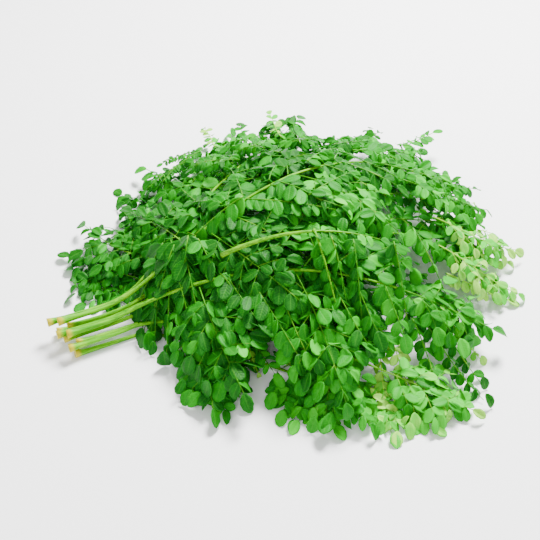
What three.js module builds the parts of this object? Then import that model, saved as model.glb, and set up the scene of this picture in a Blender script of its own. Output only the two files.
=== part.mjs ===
// A bunch of cut drumstick leaves (Moringa oleifera) lying on a flat surface.
//
// Each leaf is a stalk with two opposite pairs of feathery side sprays and one spray at its tip.
// The stalks are gathered at their cut ends, at -X, and the leaves fan out over each other
// towards +X in a low heap. Every leaf lies in a layer of its own, so that no two touch.
// Lengths are in millimetres and angles in degrees. +Z is up, and the surface is z = 0.
import * as THREE from "three";

const SPRAY_THICKNESS = 1.3;
const STALK_SIDES = 6;
const JOIN_GAP = 0.4; // clear space between a stalk and the foot of a spray

// The heap that the layers follow: its middle, its half length and half width, the rise
// from one layer to the next at its rim and at its middle, and the share of its height at
// which the stalks are in among the sprays.
const HEAP = {
  x: 44, y: 0, halfLength: 194, halfWidth: 196, rimStep: 2.5, crestStep: 11.4, leafyShare: 0.15,
};

// The gathered stalks: where they are cut, where they start to spread, and the columns in
// which they lie side by side.
const BUNCH = { cutX: -186, waistX: -132, columnY: 14, columnStep: 7.2, spreadRun: 46 };

// A stalk's radius at its cut foot, just above the foot, and at its tip.
const STALK = { footRadius: 3.3, radius: 2.65, tipRadius: 1.15, footRun: 0.06, steps: 16 };

// A spray's half width at its foot and at its tip, the share of its length that is bare
// at the foot, the depth of the notches between its lobes, and the number of lobes on each side.
const SPRAY = { footHalfWidth: 1.4, tipHalfWidth: 2.5, bare: 0.08, notch: 0.36, lobes: 4 };

// The leaves from the lowest layer up. fan is the way that the stalk turns from +X,
// tipX is where it ends, column is its place across the gathered stalks, back is how far
// its cut end stands back from BUNCH.cutX, and sprays lists each side spray's place along
// the stalk, its angle from the stalk, its bend, its length and its half width, to the left
// (+Y) for a positive angle.
const LEAVES = [
  {
    fan: -50, tipX: 10, column: -2, back: -2,
    sprays: [[0.5, 84, 10, 110, 34], [0.5, -46, -6, 98, 32], [0.8, 58, -12, 104, 32],
      [0.78, -46, 16, 88, 30]],
    tip: [-8, 90, 32],
  },
  {
    fan: 52, tipX: 2, column: 2, back: 6,
    sprays: [[0.36, 94, 8, 80, 30], [0.48, -82, 12, 116, 36], [0.72, 58, 8, 102, 32],
      [0.74, -62, -10, 108, 34]],
    tip: [6, 100, 34],
  },
  {
    fan: -20, tipX: 62, column: -1, back: -6,
    sprays: [[0.38, 98, 12, 118, 36], [0.42, -74, 8, 108, 36], [0.72, 60, -12, 110, 34],
      [0.74, -58, -12, 112, 34]],
    tip: [-8, 104, 34],
  },
  {
    fan: 32, tipX: 84, column: 0, back: 3,
    sprays: [[0.36, 96, 14, 116, 34], [0.46, -86, -12, 120, 36], [0.7, 62, 6, 116, 34],
      [0.74, -60, 10, 112, 34]],
    tip: [-6, 98, 34],
  },
  {
    fan: -45, tipX: 40, column: -2, back: 2,
    sprays: [[0.42, 90, -8, 118, 36], [0.46, -60, -6, 104, 30], [0.74, 58, 12, 106, 34],
      [0.76, -40, 8, 100, 32]],
    tip: [-6, 90, 32],
  },
  {
    fan: 15, tipX: 134, column: 1, back: -3,
    sprays: [[0.36, 94, -10, 126, 36], [0.42, -84, 12, 124, 38], [0.7, 62, 10, 116, 36],
      [0.72, -60, -8, 116, 36]],
    tip: [4, 100, 34],
  },
  {
    fan: -12, tipX: 114, column: 0, back: 8,
    sprays: [[0.42, 86, 14, 120, 36], [0.37, -78, -8, 108, 36], [0.7, 58, -12, 114, 36],
      [0.68, -66, 12, 120, 36]],
    tip: [-6, 98, 34],
  },
  {
    fan: 40, tipX: 58, column: 2, back: 12,
    sprays: [[0.42, 88, -8, 110, 34], [0.46, -84, -12, 118, 36], [0.72, 70, 10, 110, 34],
      [0.73, -60, 12, 110, 34]],
    tip: [-4, 98, 32],
  },
  {
    fan: -31, tipX: 78, column: -1, back: 0,
    sprays: [[0.4, 88, -10, 116, 36], [0.43, -70, 10, 112, 34], [0.72, 58, -12, 106, 34],
      [0.7, -58, -10, 116, 36]],
    tip: [-4, 92, 34],
  },
  {
    fan: 7, tipX: 130, column: 1, back: 4,
    sprays: [[0.38, 92, 8, 116, 34], [0.44, -82, 12, 124, 36], [0.7, 60, 12, 114, 34],
      [0.72, -60, -12, 116, 36]],
    tip: [-4, 98, 34],
  },
];

const rad = THREE.MathUtils.degToRad;
const vec = (x, y, z) => new THREE.Vector3(x, y, z);

// 1 at the middle of the heap, falling smoothly to 0 at its rim.
function heapShare(x, y) {
  const across = Math.hypot((x - HEAP.x) / HEAP.halfLength, (y - HEAP.y) / HEAP.halfWidth);
  return across < 1 ? (1 - across ** 2) ** 1.5 : 0;
}

// The height of a layer's underside. Layer 0 lies flat on the surface.
function layerHeight(layer, x, y) {
  const step = HEAP.rimStep + (HEAP.crestStep - HEAP.rimStep) * heapShare(x, y);
  return layer * step;
}

// A closed solid through rings of points, each ring running anticlockwise as seen from
// the end of the loft.
function loft(rings) {
  const size = rings[0].length;
  const points = rings.flat();
  const faces = [];
  for (let ring = 0; ring < rings.length - 1; ring++) {
    for (let i = 0; i < size; i++) {
      const a = ring * size + i;
      const b = ring * size + ((i + 1) % size);
      faces.push(a, b, b + size, a, b + size, a + size);
    }
  }
  const last = (rings.length - 1) * size;
  for (let i = 1; i < size - 1; i++) {
    faces.push(0, i + 1, i, last, last + i, last + i + 1);
  }
  return new THREE.BufferGeometry().setFromPoints(points).setIndex(faces);
}

// The plan position of a leaf's stalk at a share of its run, 0 at the cut and 1 at the tip.
function stalkPlan(leaf, share) {
  const cutX = BUNCH.cutX - leaf.back;
  const x = cutX + (leaf.tipX - cutX) * share;
  const past = Math.max(0, x - BUNCH.waistX);
  const spread = Math.tan(rad(leaf.fan)) * past ** 2 / (past + BUNCH.spreadRun);
  return { x, y: BUNCH.columnY + leaf.column * BUNCH.columnStep + spread };
}

// The stalk swells at its cut foot and tapers to its tip.
function stalkRadius(share) {
  const taper = THREE.MathUtils.lerp(STALK.radius, STALK.tipRadius, share);
  const swell = Math.max(0, 1 - share / STALK.footRun);
  return taper + (STALK.footRadius - STALK.radius) * swell;
}

// A stalk rests on what is under it where the stalks are gathered, and runs level with
// its own sprays in the heap.
function stalkPoint(leaf, layer, share) {
  const { x, y } = stalkPlan(leaf, share);
  const radius = stalkRadius(share);
  const inHeap = Math.min(1, heapShare(x, y) / HEAP.leafyShare);
  const lift = THREE.MathUtils.lerp(radius, SPRAY_THICKNESS / 2, inHeap);
  return vec(x, y, Math.max(layerHeight(layer, x, y) + lift, radius));
}

function stalkHeading(leaf, share) {
  const before = stalkPlan(leaf, share - 0.01);
  const after = stalkPlan(leaf, share + 0.01);
  return Math.atan2(after.y - before.y, after.x - before.x);
}

function stalkGeometry(leaf, layer) {
  const rings = [];
  for (let step = 0; step <= STALK.steps; step++) {
    const share = step / STALK.steps;
    const centre = stalkPoint(leaf, layer, share);
    const heading = stalkHeading(leaf, share);
    const side = vec(-Math.sin(heading), Math.cos(heading), 0);
    const radius = stalkRadius(share);
    const ring = [];
    for (let i = 0; i < STALK_SIDES; i++) {
      const turn = ((i + 0.5) / STALK_SIDES) * 2 * Math.PI;
      ring.push(centre.clone()
        .addScaledVector(side, radius * Math.cos(turn))
        .add(vec(0, 0, radius * Math.sin(turn))));
    }
    rings.push(ring);
  }
  return loft(rings);
}

// Half the width of a spray at a share of its length: slim at its foot, fullest before
// its middle, and notched between its lobes.
function sprayHalfWidth(share, fullest) {
  const leafy = Math.max(0, share - SPRAY.bare) / (1 - SPRAY.bare);
  const outline = Math.sin(Math.PI * leafy ** 0.8);
  const lobe = 0.5 - 0.5 * Math.cos(2 * Math.PI * SPRAY.lobes * share);
  const ends = THREE.MathUtils.lerp(SPRAY.footHalfWidth, SPRAY.tipHalfWidth, share);
  return ends + Math.max(0, fullest - ends) * outline * (1 - SPRAY.notch * (1 - lobe));
}

// A spray is a thin sheet laid over its layer: flat below, slightly crowned above.
function sprayGeometry(layer, foot, heading, bend, length, halfWidth) {
  const steps = SPRAY.lobes * 2;
  const rings = [];
  let { x, y } = foot;
  for (let step = 0; step <= steps; step++) {
    const share = step / steps;
    const turn = heading + rad(bend) * share;
    const wide = sprayHalfWidth(share, halfWidth);
    const at = (across, lift) => {
      const px = x - Math.sin(turn) * across;
      const py = y + Math.cos(turn) * across;
      return vec(px, py, layerHeight(layer, px, py) + lift);
    };
    rings.push([
      at(0, SPRAY_THICKNESS), at(-wide / 2, SPRAY_THICKNESS), at(-wide, 0), at(-wide / 2, 0),
      at(0, 0), at(wide / 2, 0), at(wide, 0), at(wide / 2, SPRAY_THICKNESS),
    ]);
    const run = length / steps;
    x += Math.cos(turn + rad(bend) / steps / 2) * run;
    y += Math.sin(turn + rad(bend) / steps / 2) * run;
  }
  return loft(rings);
}

const leafGreen = new THREE.MeshStandardMaterial({ color: 0x3f8f2c, roughness: 0.5, metalness: 0 });
const youngGreen = new THREE.MeshStandardMaterial({ color: 0x6cb542, roughness: 0.5, metalness: 0 });
const stalkGreen = new THREE.MeshStandardMaterial({ color: 0x86b53f, roughness: 0.45, metalness: 0 });

function addMesh(group, name, geometry, material) {
  const mesh = new THREE.Mesh(geometry, material);
  mesh.name = name;
  mesh.geometry.computeVertexNormals();
  group.add(mesh);
}

// One leaf: its stalk, its side sprays, and the spray at its tip.
function addLeaf(bunch, leaf, layer) {
  const name = `leaf_${String(layer + 1).padStart(2, "0")}`;
  addMesh(bunch, `${name}_stalk`, stalkGeometry(leaf, layer), stalkGreen);
  leaf.sprays.forEach(([share, angle, bend, length, halfWidth], i) => {
    const node = stalkPlan(leaf, share);
    const heading = stalkHeading(leaf, share) + rad(angle);
    const clear = stalkRadius(share) + JOIN_GAP + SPRAY.footHalfWidth;
    const foot = {
      x: node.x + Math.cos(heading) * clear / Math.abs(Math.sin(rad(angle))),
      y: node.y + Math.sin(heading) * clear / Math.abs(Math.sin(rad(angle))),
    };
    const geometry = sprayGeometry(layer, foot, heading, bend, length, halfWidth);
    const label = ["lower_left", "lower_right", "upper_left", "upper_right"][i];
    addMesh(bunch, `${name}_spray_${label}`, geometry, leafGreen);
  });
  const tip = stalkPlan(leaf, 1);
  const heading = stalkHeading(leaf, 1);
  const foot = {
    x: tip.x + Math.cos(heading) * JOIN_GAP,
    y: tip.y + Math.sin(heading) * JOIN_GAP,
  };
  const [bend, length, halfWidth] = leaf.tip;
  const geometry = sprayGeometry(layer, foot, heading, bend, length, halfWidth);
  addMesh(bunch, `${name}_spray_tip`, geometry, youngGreen);
}

const bunch = new THREE.Group();
LEAVES.forEach((leaf, layer) => addLeaf(bunch, leaf, layer));

// The origin is under the middle of the bunch's box, on the surface.
const box = new THREE.Box3().setFromObject(bunch, true);
const middle = box.getCenter(new THREE.Vector3());
bunch.position.set(-middle.x, -middle.y, -box.min.z);

export default bunch;
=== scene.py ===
"""A bunch of cut drumstick leaves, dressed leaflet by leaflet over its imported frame.

Sizes in the classes are in millimetres and angles in degrees. Meshes are made in metres.
"""
import logging
import math
import random
from dataclasses import dataclass, replace
from enum import Enum
from typing import Iterable, Sequence

import bmesh
import bpy
from mathutils import Matrix, Vector


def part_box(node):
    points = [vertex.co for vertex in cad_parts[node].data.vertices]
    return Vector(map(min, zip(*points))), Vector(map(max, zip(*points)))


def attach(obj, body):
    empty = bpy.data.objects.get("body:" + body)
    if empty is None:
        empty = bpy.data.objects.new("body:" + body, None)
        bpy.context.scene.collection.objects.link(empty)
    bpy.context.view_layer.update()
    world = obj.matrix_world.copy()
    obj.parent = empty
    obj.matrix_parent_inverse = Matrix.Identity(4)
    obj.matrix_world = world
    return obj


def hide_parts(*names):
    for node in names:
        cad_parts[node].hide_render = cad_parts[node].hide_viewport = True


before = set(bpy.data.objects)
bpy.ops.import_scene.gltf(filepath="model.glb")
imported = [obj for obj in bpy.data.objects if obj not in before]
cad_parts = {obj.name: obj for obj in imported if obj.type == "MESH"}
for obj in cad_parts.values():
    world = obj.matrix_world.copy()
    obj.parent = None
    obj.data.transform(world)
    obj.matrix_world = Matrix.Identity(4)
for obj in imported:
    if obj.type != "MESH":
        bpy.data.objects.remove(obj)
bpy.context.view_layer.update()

log = logging.getLogger("leaf_bunch")

MM = 0.001
UP = Vector((0.0, 0.0, 1.0))


def lerp(start: float, end: float, share: float) -> float:
    """Return the value a share of the way from start to end."""
    return start + (end - start) * share


class Side(Enum):
    """The side of a rib that something grows on, as seen from its foot."""

    LEFT = 1
    RIGHT = -1


class Growth(Enum):
    """How a spray carries its leaflets."""

    BRANCHED = "leaflets along side ribs"
    SIMPLE = "leaflets straight on its own rib"


class Surface(Enum):
    """The material places of a piece, in order."""

    BLADE = 0
    UNDERSIDE = 1
    RIB = 2


# ---------------------------------------------------------------- the lie of the bunch


@dataclass(frozen=True)
class Heap:
    """The low heap that the layers of leaves follow."""

    x: float = 44.0
    y: float = 0.0
    half_length: float = 194.0
    half_width: float = 196.0
    rim_step: float = 2.5
    crest_step: float = 11.4
    leafy_share: float = 0.15

    def share(self, x: float, y: float) -> float:
        """Return 1 at the middle of the heap, falling smoothly to 0 at its rim."""
        across = math.hypot((x - self.x) / self.half_length, (y - self.y) / self.half_width)
        return (1.0 - across ** 2) ** 1.5 if across < 1.0 else 0.0

    def height(self, layer: float, x: float, y: float) -> float:
        """Return the height of a layer's underside at a plan position.

        Args:
            layer: The layer, counted from 0 at the surface. A share of a layer is allowed.
            x: The position along the bunch.
            y: The position across the bunch.

        Returns:
            The height above the surface.
        """
        step = self.rim_step + (self.crest_step - self.rim_step) * self.share(x, y)
        return layer * step


@dataclass(frozen=True)
class Gathering:
    """How the stalks lie side by side at their cut ends, and where they start to spread."""

    cut_x: float = -186.0
    waist_x: float = -132.0
    column_y: float = 14.0
    column_step: float = 7.2
    spread_run: float = 46.0


@dataclass(frozen=True)
class SprayPlan:
    """One spray's place on its stalk and its size."""

    share: float
    angle: float
    bend: float
    length: float
    half_width: float


@dataclass(frozen=True)
class LeafPlan:
    """One compound leaf: its stalk's run, its side sprays and the spray at its tip."""

    fan: float
    tip_x: float
    column: int
    back: float
    sprays: tuple[SprayPlan, ...]
    tip: SprayPlan
    leaflet: float
    young: float


def leaf(
    run: tuple[float, float, int, float],
    sprays: Sequence[tuple[float, float, float, float, float]],
    tip: tuple[float, float, float],
    leaflet: float,
    young: float,
) -> LeafPlan:
    """Make a leaf's plan from short rows.

    Args:
        run: The fan angle, the tip's x, the column and how far the cut end stands back.
        sprays: Each side spray's share, angle, bend, length and half width.
        tip: The tip spray's bend, length and half width.
        leaflet: The length of its full-grown leaflets.
        young: How light and yellow the leaf is, from 0 to 1.

    Returns:
        The plan.
    """
    side = tuple(SprayPlan(*row) for row in sprays)
    return LeafPlan(*run, side, SprayPlan(1.0, 0.0, *tip), leaflet, young)


LEAVES = (
    leaf((-50, 10, -2, -2), [(0.5, 84, 10, 110, 34), (0.5, -46, -6, 88, 28), (0.8, 58, -12, 104, 32),
                             (0.78, -37, 16, 86, 28)], (-8, 90, 32), 17, 0.5),
    leaf((52, 2, 2, 6), [(0.36, 94, 8, 80, 30), (0.48, -82, 12, 116, 36), (0.72, 58, 8, 102, 32),
                         (0.74, -62, -10, 108, 34)], (6, 100, 34), 13, 0.4),
    leaf((-20, 62, -1, -6), [(0.38, 98, 12, 118, 36), (0.42, -74, 8, 108, 36), (0.72, 60, -12, 110, 34),
                             (0.74, -58, -12, 112, 34)], (-8, 104, 34), 15.5, 0.4),
    leaf((32, 84, 0, 3), [(0.36, 96, 14, 116, 34), (0.46, -86, -12, 120, 36), (0.7, 62, 6, 116, 34),
                          (0.74, -60, 10, 112, 34)], (-6, 98, 34), 13, 0.35),
    leaf((-45, 40, -2, 2), [(0.42, 90, -8, 118, 36), (0.46, -60, -6, 92, 28), (0.74, 58, 12, 106, 34),
                            (0.76, -35, 8, 98, 30)], (-6, 90, 32), 17, 0.3),
    leaf((15, 134, 1, -3), [(0.36, 94, -10, 126, 36), (0.42, -84, 12, 124, 38), (0.7, 62, 10, 116, 36),
                            (0.72, -60, -8, 116, 36)], (4, 100, 34), 15, 0.35),
    leaf((-12, 114, 0, 8), [(0.42, 86, 14, 120, 36), (0.37, -78, -8, 108, 36), (0.7, 58, -12, 114, 36),
                            (0.68, -66, 12, 120, 36)], (-6, 98, 34), 17, 0.35),
    leaf((40, 58, 2, 12), [(0.42, 88, -8, 110, 34), (0.46, -84, -12, 118, 36), (0.72, 70, 10, 110, 34),
                           (0.73, -60, 12, 110, 34)], (-4, 98, 32), 15, 0.3),
    leaf((-31, 78, -1, 0), [(0.4, 88, -10, 116, 36), (0.43, -70, 10, 112, 34), (0.72, 58, -12, 106, 34),
                            (0.7, -58, -10, 116, 36)], (-4, 92, 34), 18, 0.28),
    leaf((7, 130, 1, 4), [(0.38, 92, 8, 116, 34), (0.44, -82, 12, 124, 36), (0.7, 60, 12, 114, 34),
                          (0.72, -60, -12, 116, 36)], (-4, 98, 34), 17, 0.28),
)

SPRAY_LABELS = ("lower_left", "lower_right", "upper_left", "upper_right")


@dataclass(frozen=True)
class Stalk:
    """A leaf's main stalk: its path over the heap and its thickness along that path."""

    plan: LeafPlan
    layer: int
    heap: Heap
    gathering: Gathering
    foot_radius: float = 3.3
    radius: float = 2.65
    tip_radius: float = 1.15
    foot_run: float = 0.06

    def plan_point(self, share: float) -> tuple[float, float]:
        """Return the plan position at a share of the run, 0 at the cut and 1 at the tip."""
        cut_x = self.gathering.cut_x - self.plan.back
        x = cut_x + (self.plan.tip_x - cut_x) * share
        past = max(0.0, x - self.gathering.waist_x)
        spread = math.tan(math.radians(self.plan.fan)) * past ** 2 / (past + self.gathering.spread_run)
        return x, self.gathering.column_y + self.plan.column * self.gathering.column_step + spread

    def heading(self, share: float) -> float:
        """Return the plan direction of the stalk at a share of its run, in radians."""
        before_x, before_y = self.plan_point(share - 0.01)
        after_x, after_y = self.plan_point(share + 0.01)
        return math.atan2(after_y - before_y, after_x - before_x)

    def thickness(self, share: float) -> float:
        """Return the stalk's radius, which swells at the cut foot and tapers to the tip."""
        swell = max(0.0, 1.0 - share / self.foot_run)
        return lerp(self.radius, self.tip_radius, share) + (self.foot_radius - self.radius) * swell

    def point(self, share: float) -> Vector:
        """Return the middle of the stalk at a share of its run."""
        x, y = self.plan_point(share)
        radius = self.thickness(share)
        in_heap = min(1.0, self.heap.share(x, y) / self.heap.leafy_share)
        lift = lerp(radius, SPRAY_THICKNESS / 2, in_heap)
        return Vector((x, y, max(self.heap.height(self.layer, x, y) + lift, radius)))


SPRAY_THICKNESS = 1.3
JOIN_GAP = 0.4
SPRAY_FOOT_HALF_WIDTH = 1.4


@dataclass(frozen=True)
class SprayPath:
    """The line that a spray's rib follows over its layer of the heap."""

    heap: Heap
    layer: float
    foot_x: float
    foot_y: float
    heading: float
    bend: float
    length: float
    fall: float = 0.0

    def plan_point(self, share: float) -> tuple[float, float, float]:
        """Return the plan position and direction at a share of the rib's length.

        Args:
            share: 0 at the foot of the rib and 1 at its tip.

        Returns:
            The x and y of the rib and its heading in radians.
        """
        turn = math.radians(self.bend)
        ahead = self.heading + turn * share / 2
        chord = self.length * share
        x = self.foot_x + math.cos(ahead) * chord
        y = self.foot_y + math.sin(ahead) * chord
        return x, y, self.heading + turn * share

    def point(self, share: float, across: float, lift: float) -> Vector:
        """Return a point beside or over the rib.

        Args:
            share: The place along the rib.
            across: How far to its left.
            lift: How far above the layer.

        Returns:
            The point.
        """
        x, y, turn = self.plan_point(share)
        x -= math.sin(turn) * across
        y += math.cos(turn) * across
        layer = self.layer - self.fall * max(0.0, share) ** 1.8
        return Vector((x, y, self.heap.height(layer, x, y) + SPRAY_THICKNESS / 2 + lift))

    def sunlit(self) -> float:
        """Return the painted light: how much lighter the spray is painted where light falls, at the front and right
        rims of the heap, less so towards the back.
        """
        x, y, _ = self.plan_point(0.6)
        across = math.hypot((x - self.heap.x) / self.heap.half_length, (y - self.heap.y) / self.heap.half_width)
        rim = min(1.0, max(0.0, (across - 0.45) / 0.45))
        right = min(1.0, max(0.0, (x + 40.0) / 160.0))
        front = min(1.0, max(0.0, (-y - 60.0) / 60.0)) * min(1.0, max(0.0, (x + 90.0) / 60.0))
        back = min(1.0, max(0.0, (y - 30.0) / 60.0))
        return 0.36 * rim * max(right * 0.8, front) * lerp(1.0, 0.3, back)


@dataclass(frozen=True)
class LeafletShape:
    """How one leaflet is cupped, curled and twisted, as shares of its length."""

    width: float = 0.345
    fullest: float = 1.06
    thickness: float = 0.018
    cup: float = 0.05
    curl: float = 0.12
    twist: float = 0.0
    columns: int = 4
    rows: int = 5

    def half_width(self, along: float) -> float:
        """Return half the width at a share of the length, rounded at both ends."""
        return self.width * max(0.0, math.sin(math.pi * along ** self.fullest)) ** 0.55

    def mesh(self, name: str) -> bpy.types.Mesh:
        """Make the leaflet as a thin closed shell, one unit long, pointing along +Y.

        Args:
            name: The name of the mesh.

        Returns:
            A mesh with the blade and the underside in material places of their own.
        """
        bm = bmesh.new()
        bmesh.ops.create_grid(bm, x_segments=self.columns, y_segments=self.rows, size=1.0)
        uv = bm.loops.layers.uv.new("leaf")
        for face in bm.faces:
            face.smooth = True
            for loop in face.loops:
                along = (1.0 - math.cos(math.pi * (loop.vert.co.y + 1.0) / 2)) / 2
                loop[uv].uv = ((loop.vert.co.x + 1.0) / 2, along)
        for vert in bm.verts:
            along = (1.0 - math.cos(math.pi * (vert.co.y + 1.0) / 2)) / 2
            vert.co = Vector((vert.co.x * self.half_width(along), along, 0.0))
        bmesh.ops.remove_doubles(bm, verts=bm.verts[:], dist=0.002)
        bmesh.ops.solidify(bm, geom=bm.faces[:], thickness=self.thickness)
        bmesh.ops.recalc_face_normals(bm, faces=bm.faces[:])
        for face in bm.faces:
            face.smooth = True
            under = face.normal.z < -0.5
            face.material_index = Surface.UNDERSIDE.value if under else Surface.BLADE.value
        for vert in bm.verts:
            self._settle(vert)
        mesh = bpy.data.meshes.new(name)
        bm.to_mesh(mesh)
        bm.free()
        return mesh

    def _settle(self, vert: bmesh.types.BMVert) -> None:
        """Cup, curl and twist one vertex of the flat shell."""
        x, y, z = vert.co
        ratio = x / self.width
        trough = self.cup * (abs(ratio) ** 1.3) - self.curl * y ** 2
        vert.co.z = z + trough + self.twist * x * y * 2.0
        vert.co.y = y * (1.0 - 0.3 * abs(self.curl) * y)


class LeafletBox:
    """The handful of leaflet shapes that every spray is dressed with."""

    shapes = (
        LeafletShape(),
        LeafletShape(width=0.33, cup=0.09, curl=0.05, twist=0.15),
        LeafletShape(width=0.29, cup=-0.03, curl=0.2, twist=-0.18),
        LeafletShape(width=0.32, cup=0.13, curl=0.16, twist=0.1, fullest=1.15),
        LeafletShape(width=0.37, cup=0.02, curl=-0.04, twist=-0.1, fullest=1.12),
        LeafletShape(width=0.27, cup=0.16, curl=0.26, twist=0.05, fullest=1.0),
    )

    def __init__(self) -> None:
        """Make a mesh of each shape."""
        self.meshes = [shape.mesh(f"leaflet_shape_{i}") for i, shape in enumerate(self.shapes)]

    def clear(self) -> None:
        """Remove the shapes once the sprays are made."""
        for mesh in self.meshes:
            bpy.data.meshes.remove(mesh)


class Piece:
    """A piece in the making: leaflets and ribs joined in one mesh."""

    def __init__(self, name: str, box: LeafletBox, draw: random.Random) -> None:
        """Start an empty piece.

        Args:
            name: The name of the finished object.
            box: The leaflet shapes.
            draw: The piece's own source of seeded random numbers.
        """
        self.name = name
        self.box = box
        self.draw = draw
        self.bm = bmesh.new()
        self.bm.loops.layers.uv.new("leaf")
        self.tone = self.bm.verts.layers.float.new("tone")
        self.cut = self.bm.verts.layers.float.new("cut")

    def leaflet(self, foot: Vector, forward: Vector, up: Vector, length: float, tone: float) -> None:
        """Add one leaflet.

        Args:
            foot: Where it joins its rib, in millimetres.
            forward: The way that it points.
            up: The way that its upper side faces, roughly.
            length: Its length in millimetres.
            tone: How light it is, from 0 to 1.
        """
        first = len(self.bm.verts)
        self.bm.from_mesh(self.draw.choice(self.box.meshes))
        self.bm.verts.ensure_lookup_table()
        verts = self.bm.verts[first:]
        ahead = forward.normalized()
        side = ahead.cross(up).normalized()
        above = side.cross(ahead)
        turn = Matrix((side, ahead, above)).transposed().to_4x4()
        size = length * MM
        place = Matrix.Translation(foot * MM) @ turn @ Matrix.Diagonal((size, size, size, 1.0))
        bmesh.ops.transform(self.bm, matrix=place, verts=verts)
        lowest = min(vert.co.z for vert in verts)
        if lowest < FLOOR_CLEARANCE * MM:
            bmesh.ops.translate(self.bm, verts=verts, vec=(0, 0, FLOOR_CLEARANCE * MM - lowest))
        for vert in verts:
            vert[self.tone] = tone

    def rib(self, points: Sequence[Vector], radii: Sequence[float], sides: int, tone: float) -> None:
        """Add a tapered rib or stalk through points, closed at both ends.

        Args:
            points: The middle of the rib, in millimetres.
            radii: Its radius at each point.
            sides: The number of its sides.
            tone: How light it is, from 0 to 1.
        """
        points = [self._above_floor(point, radius) for point, radius in zip(points, radii)]
        frames = list(self._frames(points, radii))
        first = len(self.bm.verts)
        ring = bmesh.ops.create_circle(self.bm, cap_ends=True, segments=sides, radius=1.0, matrix=frames[0])
        verts = ring["verts"]
        edges = {edge for vert in verts for edge in vert.link_edges}
        for before, after in zip(frames, frames[1:]):
            made = bmesh.ops.extrude_edge_only(self.bm, edges=list(edges))["geom"]
            verts = [part for part in made if isinstance(part, bmesh.types.BMVert)]
            ends = set(verts)
            edges = {
                part for part in made
                if isinstance(part, bmesh.types.BMEdge) and ends.issuperset(part.verts)
            }
            bmesh.ops.transform(self.bm, matrix=after @ before.inverted(), verts=verts)
        bmesh.ops.edgeloop_fill(self.bm, edges=list(edges))
        self.bm.verts.ensure_lookup_table()
        verts = self.bm.verts[first:]
        faces = {face for vert in verts for face in vert.link_faces}
        bmesh.ops.recalc_face_normals(self.bm, faces=list(faces))
        for face in faces:
            face.material_index = Surface.RIB.value
            face.smooth = len(face.verts) == 4
        for vert in verts:
            vert[self.tone] = tone

    @staticmethod
    def _above_floor(point: Vector, radius: float) -> Vector:
        """Return a rib's point, raised so that the rib clears the surface."""
        return Vector((point.x, point.y, max(point.z, radius + FLOOR_CLEARANCE)))

    @staticmethod
    def _frames(points: Sequence[Vector], radii: Sequence[float]) -> Iterable[Matrix]:
        """Yield the place of each ring: at its point, across the rib, scaled to the radius."""
        for i, point in enumerate(points):
            before = points[max(0, i - 1)]
            after = points[min(len(points) - 1, i + 1)]
            ahead = (after - before).normalized()
            side = ahead.cross(UP).normalized()
            above = side.cross(ahead)
            turn = Matrix((side, above, ahead)).transposed().to_4x4()
            size = radii[i] * MM
            yield Matrix.Translation(point * MM) @ turn @ Matrix.Diagonal((size, size, size, 1.0))

    def finish(self, materials: Sequence[bpy.types.Material], slot: str, shift: Vector) -> bpy.types.Object:
        """Turn the piece into an object.

        Args:
            materials: The materials of its places, in order.
            slot: The record's material slot; not used.
            shift: From the bunch's own origin to the frame's, in metres.

        Returns:
            The object, riding on the bunch.
        """
        bmesh.ops.translate(self.bm, verts=self.bm.verts[:], vec=shift)
        mesh = bpy.data.meshes.new(self.name)
        self.bm.to_mesh(mesh)
        self.bm.free()
        for material in materials:
            mesh.materials.append(material)
        piece = bpy.data.objects.new(self.name, mesh)
        bpy.context.scene.collection.objects.link(piece)
        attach(piece, "root")
        return piece


FLOOR_CLEARANCE = 0.3
YOUNG_TONE = 0.8


@dataclass(frozen=True)
class SprayStyle:
    """How a spray branches, and how loosely its leaflets lie."""

    ribs: int = 5
    rib_angle: float = 58.0
    first: float = 0.16
    last: float = 0.74
    leaflet_gap: float = 0.58
    simple_gap: float = 0.52
    bare: float = 0.03
    rib_radius: float = 0.62
    side_rib_radius: float = 0.34
    leaflet_angle: float = 56.0
    looseness: float = 12.0
    droop: float = 16.0


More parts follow.
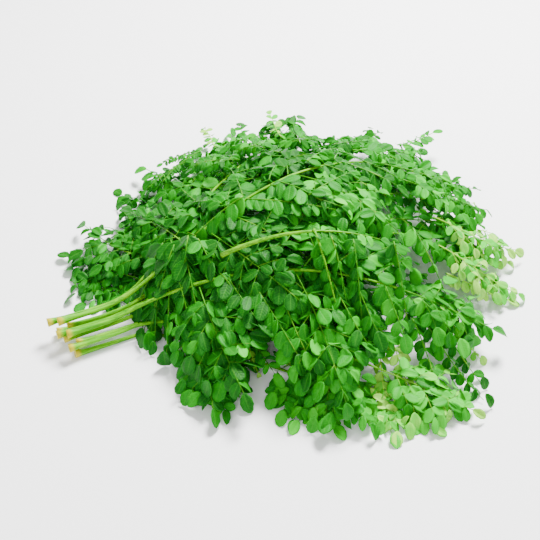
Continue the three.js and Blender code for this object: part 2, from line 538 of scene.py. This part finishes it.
@dataclass
class Spray:
    """A feathery spray: a rib, opposite side ribs, and leaflets in pairs along them."""

    path: SprayPath
    half_width: float
    leaflet: float
    tone: float
    growth: Growth = Growth.BRANCHED
    style: SprayStyle = SprayStyle()

    def grow(self, piece: Piece) -> None:
        """Add the spray's ribs and leaflets to a piece.

        Args:
            piece: The piece in the making.
        """
        draw = piece.draw
        steps = 10
        points = [self.path.point(i / steps, 0.0, 0.0) for i in range(steps + 1)]
        radii = [lerp(self.style.rib_radius, 0.3, i / steps) for i in range(steps + 1)]
        piece.rib(points, radii, 6, self.tone)
        if self.growth is Growth.SIMPLE:
            leafy = self.path.length * (1.0 - self.style.bare)
            count = max(3, round(leafy / (self.leaflet * self.style.simple_gap)))
            self._pairs(piece, points, count, self.style.bare)
            return
        for i in range(self.style.ribs):
            share = lerp(self.style.first, self.style.last, i / (self.style.ribs - 1))
            fullness = math.sin(math.pi * lerp(0.3, 0.86, i / (self.style.ribs - 1)))
            for side in Side:
                reach = (self.half_width - self.leaflet * 0.55) * fullness * draw.uniform(0.86, 1.1)
                self._side_rib(piece, share + draw.uniform(-0.02, 0.02), side, reach)
        self._tip(piece)

    def _side_rib(self, piece: Piece, share: float, side: Side, reach: float) -> None:
        """Add one side rib with its leaflets.

        Args:
            piece: The piece in the making.
            share: The place of its foot along the spray's rib.
            side: The side that it grows on.
            reach: How far it stands out from the rib.
        """
        draw = piece.draw
        lean = math.radians(self.style.rib_angle + draw.uniform(-8, 8))
        length = reach / math.sin(lean)
        run = length * math.cos(lean) / self.path.length
        rise = draw.uniform(-2.0, 5.0)
        sag = draw.uniform(0.0, 5.0)
        points = []
        steps = 4
        for i in range(steps + 1):
            out = i / steps
            lift = rise * math.sin(math.pi * out * 0.7) - sag * out ** 2
            points.append(self.path.point(share + run * out, side.value * reach * out, lift))
        radii = [lerp(self.style.side_rib_radius, 0.2, i / steps) for i in range(steps + 1)]
        piece.rib(points, radii, 4, self.tone)
        gap = self.leaflet * self.style.leaflet_gap
        count = max(2, round(length / gap))
        self._pairs(piece, points, count)

    def _tip(self, piece: Piece) -> None:
        """Add the leaflets that sit straight on the spray's rib, near its tip."""
        start = 0.8
        points = [self.path.point(lerp(start, 1.0, i / 4), 0.0, 0.0) for i in range(5)]
        length = self.path.length * (1.0 - start)
        self._pairs(piece, points, max(2, round(length / (self.leaflet * self.style.leaflet_gap))))

    def _pairs(self, piece: Piece, points: Sequence[Vector], count: int, start: float = 0.14) -> None:
        """Add pairs of leaflets along a line, and one at its end.

        Args:
            piece: The piece in the making.
            points: The line, from its foot.
            count: The number of pairs.
            start: The place of the first pair, as a share of the line.
        """
        draw = piece.draw
        for i in range(count):
            along = lerp(start, 0.97, (i + draw.uniform(-0.12, 0.12)) / count)
            spot, ahead = self._on_line(points, along)
            size = self.leaflet * lerp(1.0, 0.76, along)
            for side in Side:
                self._one(piece, spot, ahead, side.value * self.style.leaflet_angle, size)
        spot, ahead = self._on_line(points, 1.0)
        self._one(piece, spot, ahead, 0.0, self.leaflet * 1.02)

    def _one(self, piece: Piece, spot: Vector, ahead: Vector, angle: float, size: float) -> None:
        """Add one leaflet at an angle to its rib, tilted and drooping a little at random."""
        draw = piece.draw
        loose = self.style.looseness
        turn = math.radians(angle + draw.gauss(0, loose * 0.6))
        flat = Matrix.Rotation(turn, 3, UP) @ ahead
        side = flat.cross(UP).normalized()
        droop = math.radians(self.style.droop + draw.gauss(0, loose))
        forward = Matrix.Rotation(-droop, 3, side) @ flat
        roll = math.radians(draw.gauss(0, loose * 1.4))
        up = Matrix.Rotation(roll, 3, forward) @ side.cross(forward)
        tone = min(1.3, max(0.0, self.tone + draw.gauss(0, 0.18)))
        piece.leaflet(spot, forward, up, size * draw.uniform(0.85, 1.1), tone)

    @staticmethod
    def _on_line(points: Sequence[Vector], along: float) -> tuple[Vector, Vector]:
        """Return the point and the direction at a share of a line of points."""
        place = min(0.999, max(0.0, along)) * (len(points) - 1)
        i = int(place)
        ahead = (points[i + 1] - points[i]).normalized()
        return points[i].lerp(points[i + 1], place - i), ahead


# ---------------------------------------------------------------- shaders


class Value:
    """A shader socket that Python's operators work on."""

    def __init__(self, shader: "Shader", socket: bpy.types.NodeSocket) -> None:
        """Wrap a socket of a shader."""
        self.shader = shader
        self.socket = socket

    def _math(self, operation: str, *values: "Value | float") -> "Value":
        """Return the result of a Math node."""
        return self.shader.node("ShaderNodeMath", {"operation": operation}, dict(enumerate(values)))

    def __add__(self, other: "Value | float") -> "Value":
        """Return the sum."""
        return self._math("ADD", self, other)

    def __sub__(self, other: "Value | float") -> "Value":
        """Return the difference."""
        return self._math("SUBTRACT", self, other)

    def __rsub__(self, other: "Value | float") -> "Value":
        """Return the difference, with this value taken away."""
        return self._math("SUBTRACT", other, self)

    def __mul__(self, other: "Value | float") -> "Value":
        """Return the product."""
        return self._math("MULTIPLY", self, other)

    def __abs__(self) -> "Value":
        """Return the size without the sign."""
        return self._math("ABSOLUTE", self)

    __radd__ = __add__
    __rmul__ = __mul__

    def sine(self) -> "Value":
        """Return the sine."""
        return self._math("SINE", self)

    def step(self, low: float, high: float) -> "Value":
        """Return 0 below low and 1 above high, with a smooth rise between."""
        settings = {"interpolation_type": "SMOOTHSTEP"}
        return self.shader.node("ShaderNodeMapRange", settings, {0: self, 1: low, 2: high})


class Shader:
    """A material in the making."""

    def __init__(self, name: str) -> None:
        """Start a material with nothing but its output."""
        self.material = bpy.data.materials.new(name)
        self.material.use_nodes = True
        self.tree = self.material.node_tree
        self.tree.nodes.clear()

    def node(
        self, kind: str, settings: dict[str, object] | None = None,
        inputs: dict[int | str, object] | None = None, output: int | str = 0,
    ) -> Value:
        """Add a node.

        Args:
            kind: The node's type.
            settings: What is set on the node itself, before its sockets.
            inputs: A value, a colour or a link for each socket that is used.
            output: The output that is wanted.

        Returns:
            That output.
        """
        node = self.tree.nodes.new(kind)
        for name, value in (settings or {}).items():
            setattr(node, name, value)
        for key, value in (inputs or {}).items():
            if isinstance(value, Value):
                self.tree.links.new(value.socket, node.inputs[key])
            else:
                node.inputs[key].default_value = value
        return Value(self, node.outputs[output])

    def mix(self, factor: Value | float, first: object, second: object) -> Value:
        """Return a mix of two colours.

        Args:
            factor: 0 for the first colour and 1 for the second.
            first: A colour or a link.
            second: A colour or a link.

        Returns:
            The colour.
        """
        return self.node("ShaderNodeMix", {"data_type": "RGBA"}, {0: factor, 6: first, 7: second}, 2)

    def attribute(self, name: str) -> Value:
        """Return a number stored on the piece's vertices."""
        return self.node("ShaderNodeAttribute", {"attribute_name": name}, output="Fac")

    def noise(self, place: Value, scale: float, detail: float = 2.0) -> Value:
        """Return a soft noise from 0 to 1."""
        return self.node("ShaderNodeTexNoise", {}, {"Vector": place, "Scale": scale, "Detail": detail})

    def bump(self, height: Value, strength: float, distance: float) -> Value:
        """Return a normal that follows a height."""
        return self.node("ShaderNodeBump", {}, {"Strength": strength, "Distance": distance, "Height": height})

    def surface(self, shader: Value) -> bpy.types.Material:
        """Set what the material's surface is, and return the material."""
        self.node_out = self.tree.nodes.new("ShaderNodeOutputMaterial")
        self.tree.links.new(shader.socket, self.node_out.inputs["Surface"])
        return self.material


Colour = tuple[float, float, float, float]


@dataclass(frozen=True)
class LeafFinish:
    """A leaflet's surface: satin green that grows lighter with its tone, with a pale midrib."""

    name: str
    deep: Colour
    full: Colour
    light: Colour
    young: Colour
    rib: Colour
    margin: Colour
    glow: Colour
    roughness: float
    rib_strength: float
    through: float

    def make(self) -> bpy.types.Material:
        """Make the material.

        Returns:
            The material.
        """
        shader = Shader(self.name)
        uv = shader.node("ShaderNodeUVMap", {"uv_map": "leaf"})
        across = shader.node("ShaderNodeSeparateXYZ", {}, {0: uv}, 0)
        along = shader.node("ShaderNodeSeparateXYZ", {}, {0: uv}, 1)
        out = abs(across * 2.0 - 1.0)
        place = shader.node("ShaderNodeTexCoord", output="Object")
        patches = shader.noise(place, 90.0)
        mottle = shader.noise(place, 700.0)
        tone = shader.attribute("tone") + (patches - 0.5) * 0.5
        green = shader.mix(tone.step(0.0, 0.5), self.deep, self.full)
        green = shader.mix(tone.step(0.4, 0.85), green, self.light)
        green = shader.mix(tone.step(0.85, 1.25), green, self.young)
        green = shader.mix(mottle.step(0.4, 0.8) * 0.18, green, self.light)
        vein = ((along * 1.0 - out * 0.22) * 50.0).sine()
        midrib = (1.0 - out.step(0.02, 0.13)) * (1.0 - along.step(0.75, 1.0))
        green = shader.mix(vein.step(0.55, 1.0) * (1.0 - out.step(0.6, 1.0)) * 0.16, green, self.rib)
        green = shader.mix(midrib * self.rib_strength, green, self.rib)
        green = shader.mix(out.step(0.82, 1.0) * 0.45, green, self.margin)
        height = vein * 0.25 - midrib * 0.9 + mottle * 0.5
        normal = shader.bump(height, 0.35, 0.0005)
        rough = self.roughness + (mottle - 0.5) * 0.2
        body = shader.node("ShaderNodeBsdfPrincipled", {}, {
            "Base Color": green, "Roughness": rough, "Normal": normal, "Specular IOR Level": 0.25,
            "Specular Tint": (0.6, 1.0, 0.6, 1.0),
        })
        glow = shader.node("ShaderNodeBsdfTranslucent", {}, {"Color": self.glow})
        return shader.surface(shader.node("ShaderNodeMixShader", {}, {0: self.through, 1: body, 2: glow}))


@dataclass(frozen=True)
class StalkFinish:
    """The stalks' and ribs' surface: smooth yellow-green with faint long streaks, tan where cut."""

    name: str
    deep: Colour
    light: Colour
    young: Colour
    tan: Colour
    pith: Colour
    roughness: float = 0.42

    def make(self) -> bpy.types.Material:
        """Make the material.

        Returns:
            The material.
        """
        shader = Shader(self.name)
        place = shader.node("ShaderNodeTexCoord", output="Object")
        long = shader.node("ShaderNodeMapping", {}, {"Vector": place, "Scale": (60.0, 900.0, 900.0)})
        streak = shader.noise(long, 1.0, 3.0)
        patches = shader.noise(place, 60.0)
        cut = shader.attribute("cut")
        tone = shader.attribute("tone")
        green = shader.mix(streak.step(0.3, 0.7), self.deep, self.light)
        green = shader.mix(tone.step(0.5, 1.1) * 0.8, green, self.young)
        green = shader.mix(patches.step(0.5, 0.75) * 0.35, green, self.young)
        green = shader.mix((cut + (patches - 0.5) * 0.5).step(0.25, 0.8), green, self.tan)
        green = shader.mix(cut.step(1.1, 1.6), green, self.pith)
        normal = shader.bump(streak, 0.3, 0.0004)
        rough = self.roughness + (streak - 0.5) * 0.2
        return shader.surface(shader.node("ShaderNodeBsdfPrincipled", {}, {
            "Base Color": green, "Roughness": rough, "Normal": normal, "Specular IOR Level": 0.25,
            "Specular Tint": (0.7, 1.0, 0.4, 1.0),
        }))


BLADE = LeafFinish(
    "leaf_blade", deep=(0.001, 0.07, 0.001, 1.0), full=(0.004, 0.25, 0.003, 1.0),
    light=(0.055, 0.62, 0.016, 1.0), young=(0.44, 0.88, 0.09, 1.0), rib=(0.08, 0.45, 0.03, 1.0),
    margin=(0.05, 0.42, 0.02, 1.0), glow=(0.04, 0.55, 0.003, 1.0), roughness=0.5, rib_strength=0.3,
    through=0.28,
)
UNDERSIDE = LeafFinish(
    "leaf_underside", deep=(0.015, 0.19, 0.01, 1.0), full=(0.04, 0.36, 0.02, 1.0),
    light=(0.14, 0.66, 0.05, 1.0), young=(0.5, 0.9, 0.16, 1.0), rib=(0.15, 0.55, 0.07, 1.0),
    margin=(0.1, 0.5, 0.05, 1.0), glow=(0.04, 0.55, 0.003, 1.0), roughness=0.6, rib_strength=0.5,
    through=0.28,
)
STALK = StalkFinish(
    "stalk_skin", deep=(0.02, 0.2, 0.0, 1.0), light=(0.13, 0.44, 0.0, 1.0),
    young=(0.34, 0.68, 0.0, 1.0), tan=(0.5, 0.42, 0.01, 1.0), pith=(0.72, 0.68, 0.16, 1.0),
)
RIB = StalkFinish(
    "rib_skin", deep=(0.012, 0.15, 0.0, 1.0), light=(0.05, 0.28, 0.003, 1.0),
    young=(0.36, 0.74, 0.04, 1.0), tan=(0.4, 0.36, 0.06, 1.0), pith=(0.6, 0.58, 0.28, 1.0),
)


# ---------------------------------------------------------------- the bunch


@dataclass
class LeafBunch:
    """The whole bunch: stalks, the frame's sprays, and the smaller sprays between them."""

    heap: Heap = Heap()
    gathering: Gathering = Gathering()
    stalk_rings: int = 64
    stalk_sides: int = 12

    def build(self) -> None:
        """Make every piece of the bunch."""
        self.box = LeafletBox()
        self.materials = [BLADE.make(), UNDERSIDE.make(), RIB.make()]
        self.stalk_material = STALK.make()
        self.shift = self._frame_shift()
        for layer, plan in enumerate(LEAVES):
            self._leaf(layer, plan)
        self._loose_sprays()
        self.box.clear()

    def _frame_shift(self) -> Vector:
        """Return the way from the bunch's own origin to the frame's, in metres."""
        first = LEAVES[0]
        last = LEAVES[-1]
        foot_x = self.gathering.cut_x - first.back
        foot_y = self.gathering.column_y + last.column * self.gathering.column_step
        foot_y -= Stalk(last, len(LEAVES) - 1, self.heap, self.gathering).foot_radius * math.cos(math.pi / 6)
        low_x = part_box("leaf_01_stalk")[0].x
        low_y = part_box(f"leaf_{len(LEAVES):02d}_stalk")[0].y
        return Vector((low_x - foot_x * MM, low_y - foot_y * MM, 0.0))

    def _leaf(self, layer: int, plan: LeafPlan) -> None:
        """Make one leaf: its stalk, its sprays, and the small sprays between them.

        Args:
            layer: The layer that it lies in.
            plan: Its plan.
        """
        name = f"leaf_{layer + 1:02d}"
        stalk = Stalk(plan, layer, self.heap, self.gathering)
        self._stalk(name, stalk)
        for label, spray in zip(SPRAY_LABELS, plan.sprays):
            node = f"{name}_spray_{label}"
            self._spray(f"{node}_leaflets", node, self._side_path(stalk, spray), spray.half_width, plan, "leaf")
        node = f"{name}_spray_tip"
        path = self._tip_path(stalk, plan.tip)
        self._spray(f"{node}_leaflets", node, path, plan.tip.half_width, plan, "young_leaf")
        self._small_sprays(name, stalk)
        log.info("%s made", name)

    def _small_sprays(self, name: str, stalk: Stalk) -> None:
        """Make the small sprays that grow between a leaf's larger ones.

        Args:
            name: The leaf's name.
            stalk: Its stalk.
        """
        draw = random.Random(f"{name} small sprays")
        for i, (share, length) in enumerate(SMALL_SPRAYS):
            for side in Side:
                if side is Side.RIGHT and stalk.plan.fan < FRONT_FAN:
                    continue
                angle = side.value * draw.uniform(48.0, 72.0)
                bend = -side.value * draw.uniform(-6.0, 18.0)
                row = SprayPlan(share + draw.uniform(-0.015, 0.015), angle, bend, length * draw.uniform(0.85, 1.1), 0.0)
                path = self._side_path(stalk, row)
                path = replace(path, layer=path.layer + 0.35, fall=draw.uniform(0.0, 0.6))
                piece_name = f"{name}_small_spray_{side.name.lower()}_{i + 1}"
                self._spray(piece_name, None, path, 0.0, stalk.plan, "leaf", Growth.SIMPLE)

    def _loose_sprays(self) -> None:
        """Make the sprays that hang over the sides of the heap and lie across its top."""
        for i, row in enumerate(LOOSE_SPRAYS):
            path = SprayPath(
                self.heap, row.layer, row.x, row.y, math.radians(row.heading), row.bend, row.length,
                row.layer - row.end_layer,
            )
            name = f"loose_spray_{i + 1:02d}"
            piece = Piece(name, self.box, random.Random(name))
            growth = Growth.BRANCHED if row.half_width else Growth.SIMPLE
            style = SprayStyle(rib_radius=row.rib, bare=row.bare) if row.rib else SprayStyle()
            Spray(path, row.half_width, row.leaflet, row.tone, growth, style).grow(piece)
            rib = self.stalk_material if row.rib else self.materials[2]
            piece.finish([*self.materials[:2], rib], "young_leaf" if row.tone > YOUNG_TONE else "leaf", self.shift)
        log.info("loose sprays made")

    def _stalk(self, name: str, stalk: Stalk) -> None:
        """Make one main stalk, with a swelling where each pair of sprays joins it."""
        piece = Piece(f"{name}_stalk_skin", self.box, random.Random(name))
        nodes = sorted({round(spray.share, 2) for spray in stalk.plan.sprays})
        shares = [i / self.stalk_rings for i in range(self.stalk_rings + 1)]
        points = [stalk.point(share) for share in shares]
        radii = []
        for share in shares:
            swell = sum(math.exp(-((share - node) / 0.018) ** 2) for node in nodes)
            thinning = lerp(1.0, 0.68, min(1.0, share / 0.3))
            foot = 0.22 * math.exp(-(share / 0.02) ** 2)
            radii.append(stalk.thickness(share) * thinning * (1.0 + foot + 0.3 * min(1.0, swell)))
        piece.rib(points, radii, self.stalk_sides, stalk.plan.young * 0.5)
        foot_x = points[0].x
        for vert in piece.bm.verts:
            past = vert.co.x / MM - foot_x
            vert[piece.cut] = max(0.0, 1.0 - past / 9.0)
        made = piece.finish([self.stalk_material] * len(Surface), "stalk", self.shift)
        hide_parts(f"{name}_stalk")

    def _side_path(self, stalk: Stalk, spray: SprayPlan) -> SprayPath:
        """Return the path of a side spray's rib."""
        x, y = stalk.plan_point(spray.share)
        angle = math.radians(spray.angle)
        heading = stalk.heading(spray.share) + angle
        clear = stalk.thickness(spray.share) + JOIN_GAP + SPRAY_FOOT_HALF_WIDTH
        x += math.cos(heading) * clear / abs(math.sin(angle))
        y += math.sin(heading) * clear / abs(math.sin(angle))
        return SprayPath(self.heap, stalk.layer, x, y, heading, spray.bend, spray.length)

    def _tip_path(self, stalk: Stalk, spray: SprayPlan) -> SprayPath:
        """Return the path of the rib of a leaf's tip spray."""
        x, y = stalk.plan_point(1.0)
        heading = stalk.heading(1.0)
        x += math.cos(heading) * JOIN_GAP
        y += math.sin(heading) * JOIN_GAP
        return SprayPath(self.heap, stalk.layer, x, y, heading, spray.bend, spray.length)

    def _spray(
        self, name: str, node: str | None, path: SprayPath, half_width: float, plan: LeafPlan, slot: str,
        growth: Growth = Growth.BRANCHED,
    ) -> None:
        """Make one spray as a piece.

        Args:
            name: The piece's name.
            node: The frame's node that it stands for, if any.
            path: Its rib's path.
            half_width: Half its width.
            plan: The plan of its leaf.
            slot: The record's material slot.
            growth: How it carries its leaflets.
        """
        piece = Piece(name, self.box, random.Random(name))
        # The tone adds painted light from path.sunlit(), lighter at the front and right rims of the heap, to the leaf's
        # own youth and random change.
        tone = plan.young - 0.1 + path.sunlit() + TONE_SHIFTS.get(name, 0.0) + piece.draw.gauss(0.0, 0.15)
        path = replace(path, length=path.length - plan.leaflet * 0.75)
        Spray(path, half_width, plan.leaflet * piece.draw.uniform(0.88, 1.1), tone, growth).grow(piece)
        made = piece.finish(self.materials, slot, self.shift)
        if node:
            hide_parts(node)


# How much lighter or darker some sprays are than their place makes them.
TONE_SHIFTS = {
    "leaf_01_spray_tip": 0.1,
    "leaf_03_spray_tip": -0.3,
    "leaf_05_spray_tip": -0.75,
    "leaf_07_spray_tip": 0.2,
    "leaf_09_spray_tip": 0.25,
    "leaf_10_spray_lower_right": -0.15,
    "leaf_09_spray_lower_right": -0.1,
}

# Leaves that fan out further to the front than this carry no small sprays on that side.
FRONT_FAN = -40.0

# Each pair of small sprays: its place along the stalk and its length.
SMALL_SPRAYS = ((0.5, 62.0), (0.56, 84.0), (0.63, 78.0), (0.8, 70.0), (0.86, 62.0), (0.93, 54.0))



@dataclass(frozen=True)
class LooseSpray:
    """A single spray that lies loose: its foot, how it runs, its leaflets and how light it is."""

    x: float
    y: float
    layer: float
    end_layer: float
    heading: float
    bend: float
    length: float
    leaflet: float
    tone: float
    half_width: float = 0.0
    rib: float = 0.0
    bare: float = 0.03


LOOSE_SPRAYS = (
    # The large dark sprays that hang over the stalks at the front left.
    LooseSpray(-72, 32, 10.3, 0.6, -96, -8, 118, 23, 0.0),
    LooseSpray(-78, 38, 10.2, 0.8, -98, 6, 86, 21, 0.05),
    LooseSpray(-84, 42, 10.2, 5.0, -156, 0, 34, 21, 0.05),
    LooseSpray(-66, 24, 10.6, 5.0, -122, 10, 56, 23, 0.02),
    LooseSpray(-90, 24, 9.4, 1.0, -132, 8, 52, 20, 0.05),
    LooseSpray(-88, 14, 8.8, 0.8, -114, -6, 62, 20, 0.0),
    LooseSpray(-84, 8, 8.8, 0.8, -98, 6, 74, 19, 0.1),
    LooseSpray(-98, 16, 7.0, 1.0, -120, 0, 44, 17, 0.2),
    LooseSpray(-92, 20, 7.6, 2.0, -142, 0, 40, 18, 0.1),
    LooseSpray(-96, 4, 6.4, 1.6, -152, 0, 34, 16, 0.25),
    LooseSpray(-84, 36, 9.9, 6.4, -150, 0, 42, 20, 0.0),
    LooseSpray(-78, 28, 10.4, 7.0, -138, 6, 44, 21, 0.05),
    LooseSpray(-60, 16, 10.0, 1.0, -88, 8, 78, 17, 0.35),
    LooseSpray(-56, -24, 9.0, 4.0, -70, 0, 40, 14, 0.6),
    LooseSpray(-52, -40, 5.0, 0.5, -86, 0, 46, 9, 0.95),
    # The light ones along the front.
    LooseSpray(14, -90, 4.0, 0.2, -128, 10, 62, 17, 0.7),
    LooseSpray(18, -94, 4.4, 0.3, -112, -8, 58, 16, 0.75),
    LooseSpray(24, -98, 4.0, 0.2, -98, 6, 54, 17, 0.65),
    LooseSpray(52, -104, 3.4, 0.3, -106, -6, 52, 13, 1.05),
    LooseSpray(64, -110, 3.0, 0.3, -100, 6, 56, 13, 1.15),
    LooseSpray(80, -112, 6.2, 1.0, -88, -6, 62, 14, 0.25),
    LooseSpray(88, -114, 6.4, 1.0, -76, 8, 74, 15, 0.15),
    LooseSpray(98, -106, 6.4, 1.0, -72, 0, 66, 15, 0.2),
    LooseSpray(116, -96, 4.0, 1.0, -76, 6, 54, 12, 1.15),
    # The pale ones at the right: young leaflets, painted paler still as light falling on that side of the heap.
    LooseSpray(140, -72, 5.0, 2.0, -34, 8, 58, 13, 1.2),
    LooseSpray(150, -56, 5.0, 2.0, -30, -8, 60, 13, 1.0),
    LooseSpray(166, -40, 5.5, 3.0, -28, 6, 54, 13, 1.15),
    LooseSpray(168, -10, 6.0, 4.0, -14, -6, 58, 13, 1.1),
    LooseSpray(160, 10, 7.0, 8.0, -8, 8, 60, 12, 0.9),
    LooseSpray(148, -30, 8.4, 6.0, -22, 6, 84, 13, 0.95, 26),
    LooseSpray(138, -56, 7.4, 3.0, -32, -6, 78, 13, 1.0, 24),
    # The full ones that spread over the far right and the back.
    LooseSpray(112, -12, 6.2, 7.0, -10, 6, 92, 14, 0.35, 30),
    LooseSpray(110, 22, 6.2, 8.0, 2, -6, 94, 14, 0.3, 30),
    LooseSpray(116, 58, 6.4, 8.0, 18, 6, 92, 13, 0.35, 30),
    LooseSpray(132, 4, 9.9, 10.0, -14, 8, 92, 13, 0.45, 28),
    LooseSpray(128, 30, 9.9, 11.0, -2, -8, 100, 13, 0.35, 30),
    LooseSpray(112, 62, 9.9, 12.0, 14, 8, 104, 13, 0.4, 30),
    LooseSpray(104, 84, 9.9, 11.0, 38, -8, 100, 13, 0.35, 30),
    LooseSpray(76, 100, 9.9, 10.0, 64, 8, 100, 12, 0.3, 28),
    LooseSpray(44, 112, 9.9, 12.0, 86, -8, 96, 12, 0.4, 28),
    LooseSpray(14, 104, 9.8, 11.0, 108, 10, 86, 11, 0.3, 26),
    LooseSpray(190, 104, 12.0, 12.0, 8, 6, 50, 12, 0.5),
    LooseSpray(156, 118, 11.0, 10.0, 46, 8, 46, 12, 0.4),
    LooseSpray(88, 168, 10.0, 12.0, 78, 6, 46, 11, 0.95),
    LooseSpray(20, 186, 11.0, 11.0, 82, 6, 36, 10, 1.1),
    LooseSpray(4, 180, 12.0, 9.0, -170, 26, 56, 7, 0.2),
    LooseSpray(4, 188, 11.0, 9.0, 166, 20, 40, 7, 0.3),
    LooseSpray(-10, 172, 11.0, 8.0, 180, 24, 56, 8, 0.15),
    # The bare-footed one on top, torn from a leaf.
    LooseSpray(-52, -18, 10.4, 9.7, -18, -4, 132, 15, 0.3, rib=2.3, bare=0.56),
    LooseSpray(20, -42, 10.3, 6.5, -92, 0, 62, 15, 0.35, rib=1.2, bare=0.2),
    # The ones that cross the topmost stalks.
    LooseSpray(-14, 24, 10.3, 9.5, 178, 0, 50, 18, 0.6),
    LooseSpray(-54, 50, 10.0, 7.0, 124, 8, 52, 16, 0.15),
    LooseSpray(-30, 36, 10.0, 8.0, 108, -8, 56, 15, 0.3),
    LooseSpray(20, 24, 9.8, 9.4, -58, 0, 42, 18, 0.1),
    LooseSpray(34, -4, 9.7, 9.5, 18, 8, 64, 15, 0.35),
    LooseSpray(56, 44, 9.7, 9.4, 40, -8, 60, 14, 0.3),
    LooseSpray(30, -54, 10.4, 7.0, -94, 0, 44, 16, 0.4),
    LooseSpray(46, -62, 10.4, 7.0, -104, 0, 44, 17, 0.2),
    LooseSpray(80, -70, 10.3, 6.0, -100, 6, 44, 16, 0.4),
    LooseSpray(104, -60, 10.3, 7.0, -70, 0, 44, 15, 0.4),
)


# ---------------------------------------------------------------- the studio


@dataclass(frozen=True)
class Studio:
    """The pale floor, the soft lights and the camera."""

    floor_half: float = 4.0
    azimuth: float = -24.0
    elevation: float = 46.0
    distance: float = 0.8
    lens: float = 59.27
    target_height: float = 0.03

    def build(self, shift: Vector) -> None:
        """Make the floor, the lights and the camera.

        Args:
            shift: From the bunch's own origin to the frame's, in metres.
        """
        self._floor()
        self._world()
        target = shift + Vector((0.0, 0.0, self.target_height))
        self._camera(target)
        self._light("key_light", target + Vector((0.7, 0.5, 1.3)), target, 0.5, 116.0)
        self._light("fill_light", target + Vector((-0.8, -0.9, 1.0)), target, 1.2, 12.0)

    def _floor(self) -> None:
        """Make the floor."""
        bm = bmesh.new()
        bmesh.ops.create_grid(bm, x_segments=1, y_segments=1, size=self.floor_half)
        mesh = bpy.data.meshes.new("floor")
        bm.to_mesh(mesh)
        bm.free()
        shader = Shader("floor_paint")
        body = shader.node("ShaderNodeBsdfPrincipled", {}, {"Base Color": (0.97, 0.97, 0.97, 1.0), "Roughness": 0.8})
        mesh.materials.append(shader.surface(body))
        floor = bpy.data.objects.new("floor", mesh)
        bpy.context.scene.collection.objects.link(floor)

    def _world(self) -> None:
        """Light the scene evenly from all round."""
        world = bpy.data.worlds.new("studio")
        world.use_nodes = True
        background = world.node_tree.nodes["Background"]
        background.inputs["Color"].default_value = (1.0, 1.0, 1.0, 1.0)
        background.inputs["Strength"].default_value = 0.78
        bpy.context.scene.world = world

    def _light(self, name: str, spot: Vector, target: Vector, size: float, power: float) -> None:
        """Add a soft square light that faces a target."""
        data = bpy.data.lights.new(name, "AREA")
        data.size = size
        data.energy = power
        light = bpy.data.objects.new(name, data)
        light.location = spot
        light.rotation_euler = (target - spot).to_track_quat("-Z", "Y").to_euler()
        bpy.context.scene.collection.objects.link(light)

    def _camera(self, target: Vector) -> None:
        """Add the camera, looking down on the bunch from its front left."""
        turn = math.radians(self.azimuth)
        rise = math.radians(self.elevation)
        back = Vector((math.sin(turn) * math.cos(rise), -math.cos(turn) * math.cos(rise), math.sin(rise)))
        data = bpy.data.cameras.new("camera")
        data.lens = self.lens
        data.sensor_width = 36.0
        camera = bpy.data.objects.new("camera", data)
        camera.location = target + back * self.distance
        camera.rotation_euler = (-back).to_track_quat("-Z", "Y").to_euler()
        bpy.context.scene.collection.objects.link(camera)
        bpy.context.scene.camera = camera


def main() -> None:
    """Build the bunch and the studio round it."""
    logging.basicConfig(level=logging.INFO, format="%(name)s: %(message)s")
    bunch = LeafBunch()
    bunch.build()
    Studio().build(bunch.shift)
    log.info("studio made")


if __name__ == "__main__":
    main()
